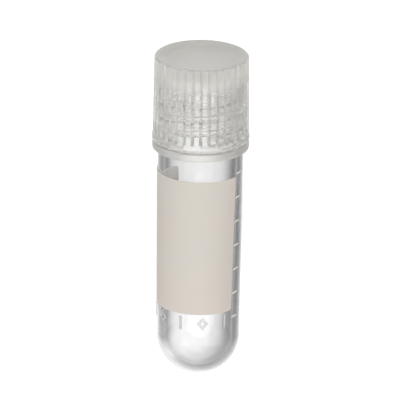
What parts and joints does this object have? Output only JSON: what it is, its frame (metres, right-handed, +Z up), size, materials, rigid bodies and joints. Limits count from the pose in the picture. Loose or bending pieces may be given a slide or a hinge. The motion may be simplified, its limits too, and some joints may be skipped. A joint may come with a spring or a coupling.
{
  "type": "cryogenic storage vial",
  "caption": "Round-bottomed clear plastic storage vial with a ribbed outside-thread screw cap, a sealing washer, a printed writing panel and printed graduations.",
  "frame": {"origin": "on the surface that the vial lies on, under the middle of its length", "axes": "+Z up, +Y along the vial from its round bottom towards its cap, +X to the right seen from above with the cap at the far end; the writing panel faces up"},
  "size_m": [0.0142, 0.0494, 0.0143],
  "materials": {
    "tube_polypropylene": "clear, smooth moulded polypropylene",
    "cap_polypropylene": "translucent, slightly milky moulded polypropylene",
    "washer_silicone": "pale silicone rubber",
    "white_ink": "matt off-white printed ink"
  },
  "bodies": {
    "tube": {"vial_tube": "tube_polypropylene", "writing_panel": "white_ink", "graduation_1": "white_ink", "graduation_2": "white_ink", "graduation_3": "white_ink", "graduation_4": "white_ink", "graduation_5": "white_ink", "graduation_6": "white_ink", "graduation_7": "white_ink"},
    "washer": {"seal_ring": "washer_silicone"},
    "cap": {"screw_cap": "cap_polypropylene"}
  },
  "joints": [
    {"name": "cap_rise", "type": "slide", "parent": "tube", "child": "washer", "axis": [0, 0.9995, 0.0303], "range_m": [0, 0.0132]},
    {"name": "cap_turn", "type": "hinge", "parent": "washer", "child": "cap", "pos_m": [0, 0.01728, 0.00724], "axis": [0, 0.9995, 0.0303], "range_deg": [0, 2160]}
  ],
  "couplings": [
    {"joint": "cap_turn", "follows": "cap_rise", "rad_per_m": 2856}
  ]
}
